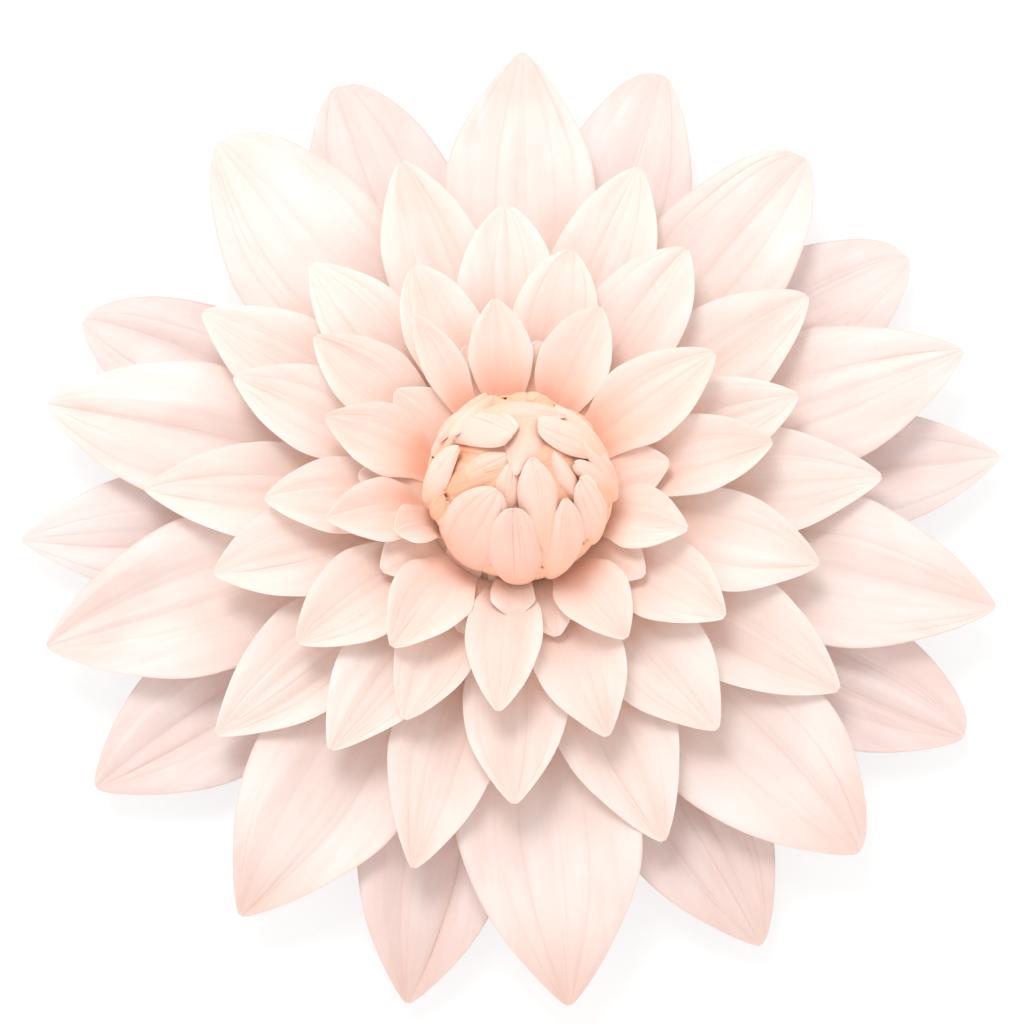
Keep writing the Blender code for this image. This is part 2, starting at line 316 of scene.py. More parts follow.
BUD_LEAVES = (
    # Closed heart of the bud
    BudLeaf(249, 40, 196, 6, 9, 4.0, 0.5, 0.5),
    BudLeaf(188, 36, 150, 10, 9, 3.9, 0.5, -0.6, 0.8),
    BudLeaf(80, 36, 252, 9, 13, 5.6, 1.0, 0.8, 0.7, 0.3),
    BudLeaf(332, 46, 18, 22, 6.5, 5.0, 0.8, 0.5, 0.3),
    # Middle leaves, pointing at the heart
    BudLeaf(130, 47, 50, 46, 9, 8.0, 0.7, 0.4, 0.1, 0.5, 0.8),
    BudLeaf(311, 98, 323, 50, 12, 4.0, 0.5, 0.5),
    BudLeaf(205, 98, 200, 60, 10, 3.6, 0.6, 0.4),
    BudLeaf(327, 94, 347, 39, 13.5, 7.0, 0.4, 1.2),
    BudLeaf(356, 78, 1, 34, 6.5, 6.8, 0.5, 0.8, 0.4),
    BudLeaf(288, 60, 12, 7, 11.5, 7.2, 0.7, 0.8, 0.1, 0.6),
    BudLeaf(231, 100, 233, 22, 21, 7.4, 0.6, 1.0, 0.75, pink=True),
    # Outer scales, round the bud's side
    BudLeaf(158, 98, 152, 66, 10, 7.0),
    BudLeaf(269, 98, 262, 28, 15, 8.8, 0.5, 1.8, pink=True),
    BudLeaf(291, 98, 322, 35, 13, 8.6, 0.75, 0.8, 0.4, 0.45),
    BudLeaf(355, 92, 22, 42, 8, 8.8),
    BudLeaf(14, 70, 62, 50, 7, 7.6, 0.7, 0.4),
    BudLeaf(14, 58, 66, 26, 11, 9.0, 0.35, 1.0, 0.35, 0.55),
    BudLeaf(188, 86, 162, 40, 12, 8.6, 0.9, 0.8, 0.3, 0.45),
    BudLeaf(142, 84, 106, 15, 14, 9.0, 0.32, 1.8),
    BudLeaf(112, 68, 158, 62, 6, 9.8, 0.6, 0.4, 0.3),
    BudLeaf(110, 54, 154, 48, 5, 10.4, 0.6, 0.8, 0.3),
)

# Scales at the back of the bud, bent down to it, in the orange painted shade of the paper under the leaves
BUD_BACK_LEAVES = (
    BudLeaf(50, 98, 40, 62, 13, 6.5, 0.6, -2.5),
    BudLeaf(82, 98, 84, 58, 14, 7.0, 0.5, -4.0),
    BudLeaf(115, 98, 110, 66, 12, 6.5, 0.6, -3.5),
)

# Wide leaves under the ones that show. A ring is so many turned copies of a leaf, with what is added to their
# lifts by turns, and the last ring is a collar that meets the inner petals. The single leaves fill the heart
# and the corners between the others.
# Their orange is painted warm shade, which shows in the grooves between the leaves
UNDER_RINGS = (
    (10, BudLeaf(0, 108, 8, 30, 21, 2.2, 0.5, 0.0, tuck=1.0), (0.0, 0.6)),
    (5, BudLeaf(20, 55, 40, 3, 19, 2.0, 0.5, 0.0, tuck=1.0), (0.0, 0.2, 0.4, 0.6, 0.8)),
    (12, BudLeaf(10, 114, 14, 78, 17, 5.4, 0.5, 0.0), (0.0, 0.8)),
)
UNDER_LEAVES = (
    BudLeaf(189, 62, 199, 10, 13, 3.2, 0.5, 0.0),
    BudLeaf(34, 44, 333, 3, 12, 3.4, 0.5, 0.0),
    BudLeaf(156, 90, 152, 50, 10, 6.0, 0.5, 0.0),
    BudLeaf(348, 92, 350, 56, 10, 6.0, 0.5, 0.0),
    BudLeaf(197, 92, 196, 58, 9, 6.0, 0.5, 0.0),
)

# Creases that show on single petals, by tier and number; the others get some at random
FOLDS = {
    (1, 1): (Fold(0.05, 7), Fold(-0.4, -5)),
    (1, 2): (Fold(0.2, 5), Fold(-0.1, -5), Fold(-0.4, 5)),
    (1, 3): (Fold(0.0, 5), Fold(0.45, -4), Fold(-0.5, 3)),
    (1, 4): (Fold(-0.45, 8), Fold(-0.15, -9), Fold(0.1, 9), Fold(0.4, -7), Fold(0.65, 6)),
    (1, 5): (Fold(-0.2, 5), Fold(0.5, -5)),
    (1, 6): (Fold(0.25, 9), Fold(0.5, -7), Fold(-0.3, -4)),
    (1, 7): (Fold(-0.45, -9), Fold(-0.15, 11), Fold(0.1, -12), Fold(0.19, 11), Fold(0.55, -5)),
    (1, 8): (Fold(-0.35, 10), Fold(-0.62, -5), Fold(0.0, -5), Fold(0.35, 9)),
    (1, 9): (Fold(-0.35, 9), Fold(0.0, -8), Fold(0.2, 9), Fold(0.38, -9), Fold(0.55, 8)),
    (1, 10): (
        Fold(0.55, -6), Fold(0.32, 10), Fold(0.05, -12),
        Fold(-0.15, 14), Fold(-0.28, -12), Fold(-0.42, 8),
    ),
    (2, 1): (Fold(0.3, 7), Fold(0.05, -8), Fold(-0.28, 9), Fold(-0.42, -7)),
    (2, 2): (Fold(-0.35, 10), Fold(0.15, 9, 0.5), Fold(0.24, -9, 0.5), Fold(-0.7, -5)),
    (2, 3): (Fold(0.32, 8), Fold(0.06, -5), Fold(-0.06, 5), Fold(-0.45, 6)),
    (2, 4): (Fold(0.45, 8), Fold(0.56, -9), Fold(0.68, 8), Fold(-0.2, -4), Fold(-0.75, 4)),
    (2, 5): (Fold(-0.08, 11), Fold(-0.32, -10), Fold(0.5, -4)),
    (2, 6): (
        Fold(-0.72, -6), Fold(-0.36, 14), Fold(-0.06, -10),
        Fold(0.02, 10), Fold(0.3, 9), Fold(0.42, -8),
    ),
    (2, 7): (Fold(0.35, 10), Fold(0.05, -5), Fold(-0.3, 7), Fold(-0.55, -5)),
    (2, 8): (Fold(-0.32, 10), Fold(0.0, -6), Fold(0.1, 6), Fold(0.4, 8), Fold(0.56, -6)),
    (2, 9): (Fold(0.2, 8), Fold(0.34, -6), Fold(-0.3, 6)),
    (2, 10): (Fold(0.45, 10), Fold(0.36, -10), Fold(0.65, -4), Fold(-0.3, 4)),
    (3, 3): (Fold(0.25, 6), Fold(-0.22, -9), Fold(-0.42, 9)),
    (3, 4): (Fold(-0.3, 10), Fold(-0.52, -6), Fold(0.1, -4), Fold(0.35, 6)),
    (3, 5): (Fold(0.48, 10), Fold(0.1, -6), Fold(-0.4, 5)),
    (3, 7): (Fold(0.36, 11), Fold(0.1, -7), Fold(-0.1, 8), Fold(-0.25, -8), Fold(-0.5, 5)),
    (3, 8): (Fold(0.3, 9), Fold(0.05, -6), Fold(-0.25, 6)),
    (3, 9): (Fold(-0.3, 11), Fold(0.0, -8), Fold(0.15, 6)),
    (3, 10): (Fold(-0.35, 9), Fold(0.05, -6), Fold(0.25, 6)),
    (4, 7): (Fold(0.36, 10), Fold(0.1, -7), Fold(-0.1, 7), Fold(-0.25, -6)),
    (4, 9): (Fold(-0.08, 11), Fold(-0.32, -7), Fold(0.28, -7)),
    (6, 7): (Fold(0.3, 9), Fold(0.05, -8), Fold(-0.25, 8)),
}

# Colours: the tiers from the outermost in, the sorts of paper of the bud, the foam and the card
TIER_COLOURS = (
    Colours((255, 241, 238), (254, 229, 220), (239, 211, 201), (238, 211, 201), (232, 197, 185)),
    Colours((255, 242, 237), (255, 226, 212), (240, 211, 200), (243, 217, 207), (235, 200, 188)),
    Colours((255, 240, 233), (255, 219, 201), (250, 226, 216), (255, 243, 237), (241, 203, 188)),
    Colours((255, 241, 234), (255, 218, 200), (252, 230, 221), (255, 244, 238), (244, 202, 186)),
    Colours((255, 236, 227), (255, 217, 199), (254, 231, 222), (255, 243, 235), (246, 199, 180)),
    Colours((255, 233, 223), (255, 216, 196), (254, 231, 221), (255, 242, 234), (247, 197, 176)),
)
BUD_COLOURS = Colours((255, 223, 208), (254, 206, 178), (255, 234, 222), (254, 214, 190), (250, 196, 170))
SMALL_COLOURS = Colours((255, 240, 232), (255, 236, 224), (255, 236, 226), (255, 242, 234), (247, 205, 184))
PINK_COLOURS = Colours((255, 217, 202), (253, 197, 172), (255, 231, 221), (254, 220, 204), (249, 188, 168))
# Orange paper under the bud's leaves: painted warm shade for the grooves
UNDER_SHADE_COLOURS = Colours((255, 204, 174), (254, 186, 146), (255, 207, 180), (255, 203, 172), (250, 186, 150))
FOAM_COLOUR = (255, 222, 196)
FOAM_SHADE = 0.8
CARD_COLOUR = (214, 196, 172)
CARD_DARK = 0.72
CARD_PALE = 1.08
WHITE = (1.0, 1.0, 1.0, 1.0)

# Where a tint of the paper or board begins and is full, then its share at each where that isn't 0 and 1
# Rims are painted light: a narrow painted shade line at a sharp rim, a broad painted highlight at a soft one
SHARP_RIM_SHADE = (0.955, 0.99, 0.0, 0.6)
SOFT_RIM_HIGHLIGHT = (0.5, 1.0, 0.0, 0.6)
# The root tint is painted warm shade under the next tier; the tip tint is painted shade at the tiers' tips
ROOT_SHADE_RAMP = (0.68, 0.1)
TIP_TINT = (0.72, 1.0)
CLOUD_TINT = (0.35, 0.75, 0.0, 0.30)
SPECK_TINT = (0.58, 0.72, 0.0, 0.35)
ROLLED_TINT = (0.35, 0.7, 0.0, 0.4)

# How much painted shade, in the creases' colour, the deepest crease takes
CREASE_SHADE = 0.38

# The two outer tiers have a sharp rim; roots are paler where tips are darker, on the last tier most of all
# That sharp rim is a painted shade line; the root and tip tints are painted shade
OUTER_TIERS = 2
PALE_ROOT_SHADE = 0.4
INNER_PALE_ROOT_SHADE = 0.9
# Painted shade at the tips: a floor for every petal, most added where it points to -Y, some where it points
# to +Y
TIP_FLOOR = 0.04
LOW_TIP = 0.96
HIGH_TIP = 0.35

# Noises: their stretch across a sheet, along it and from sheet to sheet, or in space, then scale and detail
FIBRE = ((1.0, 0.06, 40.0), 900.0, 2.0)
STREAK = ((1.0, 0.10, 60.0), 130.0, 2.0)
CLOUD = ((1.0, 0.7, 90.0), 26.0, 2.0)
CRINKLE = ((1.0, 0.8, 25.0), 260.0, 2.0)
PITS = ((1.0, 1.0, 1.0), 600.0, 2.0)
BRUSHING = ((1.0, 1.0, 3.0), 60.0, 3.0)
SPECKS = ((1.0, 1.0, 1.0), 900.0, 3.0)
ROLLED = ((1.0, 0.05, 1.0), 240.0, 2.0)

# The middle of a noise, and what it turns into: brightness, with its powers in red and blue, or roughness
MIDDLE = (0.3, 0.7)
STREAK_LEVELS = (0.945, 1.0)
FIBRE_LEVELS = (0.985, 1.0)
RED_POWER = 0.25
BLUE_POWER = 1.3
PAPER_ROUGHNESS = (0.58, 0.72)
FOAM_ROUGHNESS = (0.75, 0.95)
CARD_ROUGHNESS = (0.8, 0.95)

# Bumps, as distance and strength
CRINKLE_BUMP = (0.7 * MM, 0.35)
STREAK_BUMP = (0.6 * MM, 0.35)
FIBRE_BUMP = (0.2 * MM, 0.45)
PITS_BUMP = (0.6 * MM, 0.6)
SPECKS_BUMP = (0.3 * MM, 0.4)
PAPER_SPECULAR = 0.3
PAPER_SHEEN = 0.06
SHEEN_ROUGHNESS = 0.5

# Inputs and output of a mix node that mixes colours: its share, its two colours and the mixed one
MIX_INPUTS = (0, 6, 7)
MIX_OUTPUT = 2

CORE_FOOT = DISC_THICKNESS + GLUE_GAP
SEAT_STEP = FLAP_HEIGHT + PAPER + FLAP_CLEARANCE
CORE_NECK = CORE_FOOT + FIRST_SEAT + (len(TIERS) - 1) * SEAT_STEP + FLAP_HEIGHT
BUD_CENTRE = Vector((BUD_SHIFT.x, BUD_SHIFT.y, CORE_NECK + BALL_OVER_NECK))


def smooth(share):
    """Eases a share from 0 to 1, held at both ends."""
    held = min(1.0, max(0.0, share))
    return held * held * (3.0 - 2.0 * held)


def linear(colour):
    """A colour as the renderer takes it, from a screen colour of 0 to 255, by the usual curve of screens."""
    made = []
    for part in colour:
        level = part / 255
        made.append(level / 12.92 if level <= 0.04045 else ((level + 0.055) / 1.055) ** 2.4)
    return (*made, 1.0)


# Shape of the petals

def seat_height(index):
    return CORE_FOOT + FIRST_SEAT + index * SEAT_STEP


def cone_radius(height):
    share = (height - CORE_FOOT) / (CORE_NECK - CORE_FOOT)
    return CORE_FOOT_RADIUS + (CORE_NECK_RADIUS - CORE_FOOT_RADIUS) * share


def bezier(points, share):
    a, b, c, d = points
    rest = 1.0 - share
    return a * rest**3 + 3 * b * rest**2 * share + 3 * c * rest * share**2 + d * share**3


def petal_half_width(share, neck, widest, widest_at, blunt=0.0):
    if share < widest_at:
        return neck + (widest - neck) * math.sin(math.pi / 2 * share / widest_at) ** 2
    past = (share - widest_at) / (1.0 - widest_at)
    taper = max(0.0, math.cos(math.pi / 2 * past)) ** (TAPER_FULLNESS - blunt)
    return TIP_HALF_WIDTH + (widest - TIP_HALF_WIDTH) * taper


def leaning(degrees):
    """Unit vector of (radius, height) at a slope."""
    return Vector((math.cos(math.radians(degrees)), math.sin(math.radians(degrees))))


def petal_profile(tier, height, reach, seat_gap):
    """Middle line of a petal as four control points of (radius, height): from its fold out to its tip."""
    seat = Vector((cone_radius(height) + seat_gap + PAPER / 2, height))
    tip = Vector((reach, height + tier.tip_rise))
    handle = HANDLE * (tip - seat).length
    return seat, seat + handle * leaning(tier.seat_slope), tip - handle * leaning(tier.tip_slope), tip


def round_axis(radius, degrees, height):
    turn = math.radians(degrees)
    return Vector((radius * math.cos(turn), radius * math.sin(turn), height))


def spread(count, places=()):
    """Places across a sheet from -1 to 1, with more close to each edge and at each of the given places."""
    made = {-1.0, 1.0}
    inner = [2.0 * i / count - 1.0 for i in range(1, count)]
    inner += [place + step for place in places for step in (-CREASE_STEP, 0.0, CREASE_STEP)]
    for place in [-1.0 + RIM_INSET, 1.0 - RIM_INSET] + inner:
        if all(abs(place - other) > LEAST_STEP for other in made):
            made.add(place)
    return sorted(made)


def low_side(bearing):
    """1 for a petal that points to the low end of the photograph, and 0 from its middle upwards."""
    return max(0.0, -math.sin(math.radians(bearing)))


def waver(wander, share, phase):
    """How far a wander, given by its size and its waves to a petal, has gone at a share of the length."""
    size, waves = wander
    return size * math.sin(FULL_TURN * waves * share + phase)


class Folds:
    """The creases, pleats and waves that make one petal differ from its neighbours."""

    def __init__(self, tier, folds, bearing, seed):
        chance = random.Random(seed)
        self.tier = tier
        self.folds = folds or self.random_folds(chance)
        self.lines = []
        for _ in range(chance.randint(*LINE_COUNTS)):
            self.lines.append((
                chance.uniform(*LINE_PLACES),
                chance.uniform(*LINE_STARTS),
                chance.uniform(*LINE_DEPTHS) * tier.crease,
                chance.uniform(*LINE_WIDTHS),
            ))
        self.fan_count = chance.uniform(*FAN_COUNTS)
        self.fan_phase = chance.uniform(*PHASES)
        self.wave_count = chance.uniform(*WAVE_COUNTS)
        self.wave_phase = chance.uniform(*PHASES), chance.uniform(*PHASES)
        self.twist = math.tan(math.radians(chance.uniform(*TWISTS)))
        self.cup = chance.uniform(*CUP_SHARES), chance.uniform(*CUP_SHARES)
        self.roll = chance.uniform(*ROLL_SHARES), chance.uniform(*ROLL_SHARES)
        self.tip_curl = chance.uniform(*TIP_CURLS) + LOW_TIP_CURL * low_side(bearing)
        self.wobble = chance.uniform(*PHASES), chance.uniform(*PHASES)

    @staticmethod
    def random_folds(chance):
        """A valley to each side of the middle, and a ridge between them."""
        nearest, furthest = SIDE_FOLDS
        left = chance.uniform(-furthest, -nearest)
        right = chance.uniform(nearest, furthest)
        ridge = chance.uniform(left + RIDGE_MARGIN, right - RIDGE_MARGIN)
        return (
            Fold(left, chance.uniform(*VALLEY_SLOPES)),
            Fold(ridge, -chance.uniform(*RIDGE_SLOPES)),
            Fold(right, chance.uniform(*VALLEY_SLOPES)),
        )

    def places(self):
        return [fold.place for fold in self.folds] + [line[0] for line in self.lines]

    def depth(self, share, across):
        """How much painted shade a point takes from the creases, from 0 to 1: most deep in a crease."""
        deepest = 0.0
        for fold in self.folds:
            run = smooth((share - fold.start) / FOLD_SHADE_RUN) * min(1.0, abs(fold.slope) / STEEP_SLOPE)
            near = math.exp(-abs(across - fold.place) / FOLD_SHADE_WIDTH)
            deepest = max(deepest, run * near * (1.0 if fold.slope > 0 else RIDGE_SHADE))
        for place, start, depth, width in self.lines:
            run = smooth((share - start) / (1.0 - start)) * depth / self.tier.crease
            near = math.exp(-abs(across - place) / (width * LINE_SHADE_WIDTH))
            deepest = max(deepest, LINE_SHADE * run * near)
        return deepest

    def folded(self, share, across):
        """How far the folds lift a point, as a share of the petal's half width."""
        made = 0.0
        for fold in self.folds:
            run = smooth((share - fold.start) / FOLD_RUN)
            bend = math.hypot(across - fold.place, FOLD_ROUNDING) - (1.0 + fold.place**2) / 2
            made += run * FOLD_STRENGTH * math.tan(math.radians(fold.slope)) * bend
        return made

    def height(self, share, across, width_share, half_width):
        """How far a point stands off the petal's middle line."""
        tier = self.tier
        side = 0 if across < 0 else 1
        ease = smooth(share / FOLD_START)
        cup = self.cup[side] * tier.cup
        made = ease * width_share * (cup * across**2 + tier.pleat * math.sin(math.pi * abs(across)))
        edge = self.folded(share, math.copysign(1.0, across))
        made += half_width * (self.folded(share, across) - EDGE_HELD * edge * across**2)
        for place, start, depth, width in self.lines:
            run = smooth((share - start) / (1.0 - start))
            made -= run * depth * width_share * math.exp(-abs(across - place) / width)
        fan = smooth((share - FAN_START) / FAN_RUN) * tier.fan * width_share
        made += fan * math.sin(math.pi * self.fan_count * across + self.fan_phase)
        wave = math.sin(FULL_TURN * self.wave_count * share + self.wave_phase[side])
        made += ease * width_share * tier.wave * wave * abs(across) ** 3
        roll = max(0.0, (abs(across) - ROLL_START) / (1.0 - ROLL_START)) ** 2
        made -= ease * width_share * self.roll[side] * ROLL_DEPTH * roll
        made += ease * self.twist * across * half_width * smooth(share)
        made -= self.tip_curl * MM * smooth((share - CURL_START) / (1.0 - CURL_START)) ** 2
        return made

    def outline(self, share, across):
        """A share by which the cut edge wanders from the drawn one."""
        side = 0 if across < 0 else 1
        slow = waver(SLOW_WANDER, share, self.wobble[1 - side])
        quick = waver(QUICK_WANDER, share, self.wobble[side])
        return 1.0 + (slow + quick) * smooth(share / FOLD_START)


def petal_sheet(petal, folds, height, seat_gap):
    """Rows of points over a petal, with how far each lies along it and across it, and its painted crease
    shade.
    """
    tier = folds.tier
    widest = petal.half_width * MM
    neck = tier.neck_share * widest
    profile = petal_profile(tier, height, tier.reach + petal.longer * MM, seat_gap)
    across = spread(tier.columns, folds.places())
    upwards = math.cos(math.radians(petal.bearing))
    flap_top = height + FLAP_HEIGHT
    rows = []
    marks = []
    for i in range(FLAP_ROWS if seat_gap > 0 else 0):
        level = flap_top + (height - flap_top) * i / FLAP_ROWS
        radius = cone_radius(level) + seat_gap + PAPER / 2
        turns = [petal.bearing + math.degrees(u * neck / radius) for u in across]
        rows.append([round_axis(radius, turn, level) for turn in turns])
        marks.append([(0.0, u, 0.0, u * neck, level - flap_top) for u in across])
    travelled = 0.0
    before = profile[0]
    for i in range(tier.rows + 1):
        share = 1.0 - (1.0 - i / tier.rows) ** TIP_BIAS
        middle = bezier(profile, share)
        travelled += (middle - before).length
        before = middle
        half_width = petal_half_width(share, neck, widest, tier.widest_at)
        upper = petal_half_width(share, neck, widest, tier.widest_at, petal.blunt)
        lower = petal_half_width(share, neck, widest, tier.widest_at, LOWER_BLUNT * petal.blunt)
        bearing = petal.bearing + petal.lean * share**2
        row = []
        row_marks = []
        for u in across:
            side = u * (upper if u * upwards > 0 else lower) * folds.outline(share, u)
            lift = folds.height(share, u, half_width / widest, half_width)
            row.append(round_axis(middle.x, bearing + math.degrees(side / middle.x), middle.y + lift))
            row_marks.append((share, u, folds.depth(share, u), side, travelled))
        rows.append(row)
        marks.append(row_marks)
    return rows, marks


def bud_direction(bearing, angle):
    """Unit vector at a bearing, and at an angle from +Z."""
    return Vector((
        math.sin(math.radians(angle)) * math.cos(math.radians(bearing)),
        math.sin(math.radians(angle)) * math.sin(math.radians(bearing)),
        math.cos(math.radians(angle)),
    ))


def leaf_width_share(leaf, share):
    """Width of a leaf of the bud along its length, from root to pointed tip, as a share of its widest."""
    if share < leaf.widest_at:
        return leaf.root_share + (1.0 - leaf.root_share) * math.sin(math.pi / 2 * share / leaf.widest_at)
    past = (share - leaf.widest_at) / (1.0 - leaf.widest_at)
    return LEAF_TIP_SHARE + (1.0 - LEAF_TIP_SHARE) * max(0.0, math.cos(math.pi / 2 * past)) ** leaf.point


def leaf_sheet(leaf, seed):
    """Rows of points over a small leaf that hugs the ball, highest along its middle."""
    chance = random.Random(seed)
    phase = chance.uniform(*PHASES)
    creases = []
    for _ in range(LEAF_CREASES):
        creases.append((
            chance.uniform(*LEAF_CREASE_PLACES),
            chance.uniform(*LEAF_CREASE_STARTS),
            chance.uniform(*LEAF_CREASE_DEPTHS),
        ))
    twist = chance.uniform(*LEAF_TWISTS)
    root = bud_direction(leaf.root_bearing, leaf.root_angle)
    tip = bud_direction(leaf.tip_bearing, leaf.tip_angle)
    side = root.cross(tip).normalized()
    length = root.angle(tip) * BALL_RADIUS
    across = spread(LEAF_COLUMNS, [place for place, _, _ in creases])
    rows = []
    marks = []
    for i in range(LEAF_ROWS + 1):
        share = 1.0 - (1.0 - i / LEAF_ROWS) ** LEAF_TIP_BIAS
        along = root.slerp(tip, share)
        width_share = leaf_width_share(leaf, share)
        width = leaf.half_width * MM * width_share
        curl = leaf.curl * MM * smooth((share - LEAF_CURL_START) / (1.0 - LEAF_CURL_START)) ** 2
        row = []
        row_marks = []
        for u in across:
            ray = (along + side * u * width / BALL_RADIUS).normalized()
            drop = BUD_EDGE_DROP * width_share * u**2 + leaf.tuck * MM * abs(u) ** 5
            pucker = PUCKER * math.sin(PUCKER_ACROSS * u + phase + PUCKER_ALONG * share) * smooth(share)
            pucker += twist * u * share
            crease = 0.0
            for place, start, depth in creases:
                run = smooth((share - start) / LEAF_CREASE_RUN)
                crease = max(crease, depth * run * math.exp(-abs(u - place) / LEAF_CREASE_WIDTH))
            off = leaf.lift + pucker - LEAF_CREASE * crease * leaf.half_width / LEAF_CREASED_HALF_WIDTH
            row.append(BUD_CENTRE + ray * (BALL_RADIUS + off * MM - PAPER / 2 - drop + curl))
            # The third mark is the painted shade of the leaf's creases
            row_marks.append((share, u, LEAF_CREASE_SHADE * crease, u * width, share * length))
        rows.append(row)
        marks.append(row_marks)
    return rows, marks


# Meshes

def sheet_normals(rows):
    """Unit normals of a grid of points, from its neighbours on each side."""
    last_row = len(rows) - 1
    last = len(rows[0]) - 1
    made = []
    for i, row in enumerate(rows):
        line = []
        for j in range(last + 1):
            along = rows[min(i + 1, last_row)][j] - rows[max(i - 1, 0)][j]
            across = row[min(j + 1, last)] - row[max(j - 1, 0)]
            line.append(across.cross(along).normalized())
        made.append(line)
    return made


def paper_mesh(name, rows, marks, tone, tip=0.5):
    """One closed sheet of paper, half its thickness to each side of the points, tinted so much at its tip,
    which on the petals is painted shade.
    """
    normals = sheet_normals(rows)
    wide = len(rows[0])
    count = len(rows) * wide
    points = []
    for side in (1, -1):
        for row, line in zip(rows, normals):
            points += [point + normal * side * PAPER / 2 for point, normal in zip(row, line)]
    faces = []
    for i in range(len(rows) - 1):
        for j in range(wide - 1):
            a = i * wide + j
            quad = (a, a + 1, a + 1 + wide, a + wide)
            faces.append(quad)
            faces.append(tuple(count + corner for corner in reversed(quad)))
    right = [i * wide + wide - 1 for i in range(len(rows))]
    left = [i * wide for i in range(len(rows))]
    loop = list(range(wide)) + right[1:] + list(range(count - 2, count - wide - 1, -1)) + left[-2:0:-1]
    for here, following in zip(loop, loop[1:] + loop[:1]):
        faces.append((following, here, here + count, following + count))
    mesh = bpy.data.meshes.new(name)
    mesh.from_pydata(points, [], faces)
    shade = mesh.attributes.new("shade", "FLOAT_COLOR", "POINT")
    flat = mesh.attributes.new("flat", "FLOAT_VECTOR", "POINT")
    for layer in range(2):
        k = layer * count
        for row in marks:
            for share, across, crease, side, travelled in row:
                shade.data[k].color = (share, abs(across), crease, tip)
                flat.data[k].vector = (side, travelled, tone)
                k += 1
    mesh.shade_smooth()
    mesh.set_sharp_from_angle(angle=math.radians(SHEET_SHARP))
    mesh.update()
    return mesh


def add_piece(name, mesh, finish, slot_name, *nodes):
    mesh.materials.append(finish)
    piece = bpy.data.objects.new(name, mesh)
    bpy.context.scene.collection.objects.link(piece)
    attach(piece, BODY)
    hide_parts(*nodes)
    return piece


# Materials

class Nodes:
    """Short ways to add nodes to one tree."""

    def __init__(self, tree):
        self.tree = tree

    def add(self, kind, **settings):
        node = self.tree.nodes.new(kind)
        for key, value in settings.items():
            setattr(node, key, value)
        return node

    def join(self, output, socket):
        self.tree.links.new(output, socket)

    def attribute(self, name):
        return self.add("ShaderNodeAttribute", attribute_name=name)

    def in_view(self):
        """1 for what the camera sees, straight or in a reflection, and 0 for what only lights the flower."""
        path = self.add("ShaderNodeLightPath")
        return self.math("MAXIMUM", path.outputs["Is Camera Ray"], path.outputs["Is Glossy Ray"])

    def math(self, operation, first, second=0.0, clamp=False):
        node = self.add("ShaderNodeMath", operation=operation, use_clamp=clamp)
        for socket, value in zip(node.inputs, (first, second)):
            if isinstance(value, (int, float)):
                socket.default_value = value
            else:
                self.join(value, socket)
        return node.outputs[0]

    def ramp(self, value, low, high, to_low=0.0, to_high=1.0):
        """Eases a value from one range to another."""
        node = self.add("ShaderNodeMapRange", interpolation_type="SMOOTHSTEP")
        self.join(value, node.inputs["Value"])
        for key, number in (("From Min", low), ("From Max", high), ("To Min", to_low), ("To Max", to_high)):
            node.inputs[key].default_value = number
        return node.outputs["Result"]

    def mix(self, share, first, second, blend="MIX"):
        node = self.add("ShaderNodeMix", data_type="RGBA", blend_type=blend)
        for index, value in zip(MIX_INPUTS, (share, first, second)):
            if isinstance(value, (int, float, tuple)):
                node.inputs[index].default_value = value
            else:
                self.join(value, node.inputs[index])
        return node.outputs[MIX_OUTPUT]

    def noise(self, place, stretch, scale, detail):
        """Noise over a place that is first stretched along its axes."""
        stretched = self.add("ShaderNodeVectorMath", operation="MULTIPLY")
        self.join(place, stretched.inputs[0])
        stretched.inputs[1].default_value = stretch
        node = self.add("ShaderNodeTexNoise")
        self.join(stretched.outputs[0], node.inputs["Vector"])
        node.inputs["Scale"].default_value = scale
        node.inputs["Detail"].default_value = detail
        return node.outputs["Fac"]

    def bump(self, height, distance, strength, before=None):
        node = self.add("ShaderNodeBump")
        node.inputs["Strength"].default_value = strength
        node.inputs["Distance"].default_value = distance
        self.join(height, node.inputs["Height"])
        if before is not None:
            self.join(before, node.inputs["Normal"])
        return node.outputs["Normal"]


class MaterialNodes(Nodes):
    """The nodes of one new material, and its shader."""

    def __init__(self, name):
        self.material = bpy.data.materials.new(name)
        self.material.use_nodes = True
        super().__init__(self.material.node_tree)
        self.shader = self.tree.nodes["Principled BSDF"]

    def set(self, name, value):
        self.shader.inputs[name].default_value = value

    def feed(self, name, output):
        self.join(output, self.shader.inputs[name])


